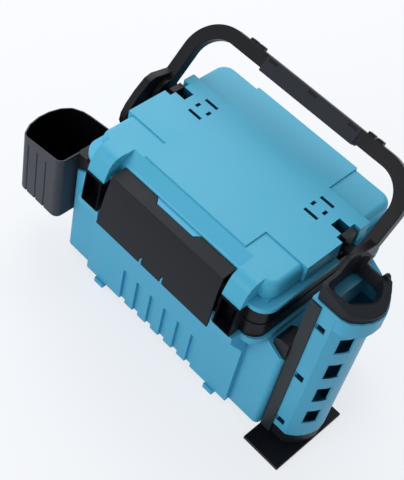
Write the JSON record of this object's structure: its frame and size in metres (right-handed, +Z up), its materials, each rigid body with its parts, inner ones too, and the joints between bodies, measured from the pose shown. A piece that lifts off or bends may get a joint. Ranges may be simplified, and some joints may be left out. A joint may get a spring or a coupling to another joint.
{
  "type": "fishing seat box",
  "caption": "Moulded fishing seat box with hinged lid, wide front latch, folding carrying handle, side cup and rod stand.",
  "frame": {"origin": "on the floor under the middle of the tub, on the underside of its centre pad", "axes": "+X to the right seen from the latch side, -Y towards the latch side, +Z up"},
  "size_m": [0.632, 0.318, 0.4043],
  "materials": {
    "blue_shell": "satin",
    "black_plastic": "satin",
    "teal_insert": "satin",
    "rubber_pad": "matte",
    "steel_pin": "brushed"
  },
  "bodies": {
    "base": {"tub": "blue_shell", "foot_front_left": "blue_shell", "foot_front_right": "blue_shell", "foot_back_left": "blue_shell", "foot_back_right": "blue_shell", "centre_pad": "rubber_pad", "collar_frame": "black_plastic", "lid_hinge_pin_left": "steel_pin", "lid_hinge_pin_right": "steel_pin", "latch_pin": "steel_pin", "pivot_lug_left": "black_plastic", "pivot_lug_right": "black_plastic", "pivot_pin_left": "steel_pin", "pivot_pin_right": "steel_pin", "pivot_bush_left": "black_plastic", "pivot_bush_right": "black_plastic", "cup_bracket": "black_plastic", "stand_bracket": "black_plastic"},
    "lid": {"lid": "blue_shell"},
    "latch": {"front_latch": "black_plastic"},
    "handle": {"handle_bail": "black_plastic", "grip_sleeve": "black_plastic"},
    "cup": {"cup": "black_plastic"},
    "rod_stand": {"stand_strip": "black_plastic", "stand_foot_plate": "black_plastic", "tube_base": "black_plastic", "tube_back_shell": "blue_shell", "tube_outer_shell": "blue_shell", "tube_head": "blue_shell", "tube_rim": "black_plastic", "tube_funnel": "teal_insert"}
  },
  "joints": [
    {"name": "lid_hinge", "type": "hinge", "parent": "base", "child": "lid", "pos_m": [0, 0.148, 0.268], "axis": [-1, 0, 0], "range_deg": [0, 28]},
    {"name": "latch_hinge", "type": "hinge", "parent": "base", "child": "latch", "pos_m": [0, -0.16, 0.202], "axis": [1, 0, 0], "range_deg": [0, 110]},
    {"name": "handle_hinge", "type": "hinge", "parent": "base", "child": "handle", "pos_m": [0, 0.0313, 0.289], "axis": [1, 0, 0], "range_deg": [-18, 41]},
    {"name": "cup_slide", "type": "slide", "parent": "base", "child": "cup", "axis": [0, 0, 1], "range_m": [0, 0.025]},
    {"name": "stand_slide", "type": "slide", "parent": "base", "child": "rod_stand", "axis": [0, 0, 1], "range_m": [0, 0.025]}
  ]
}
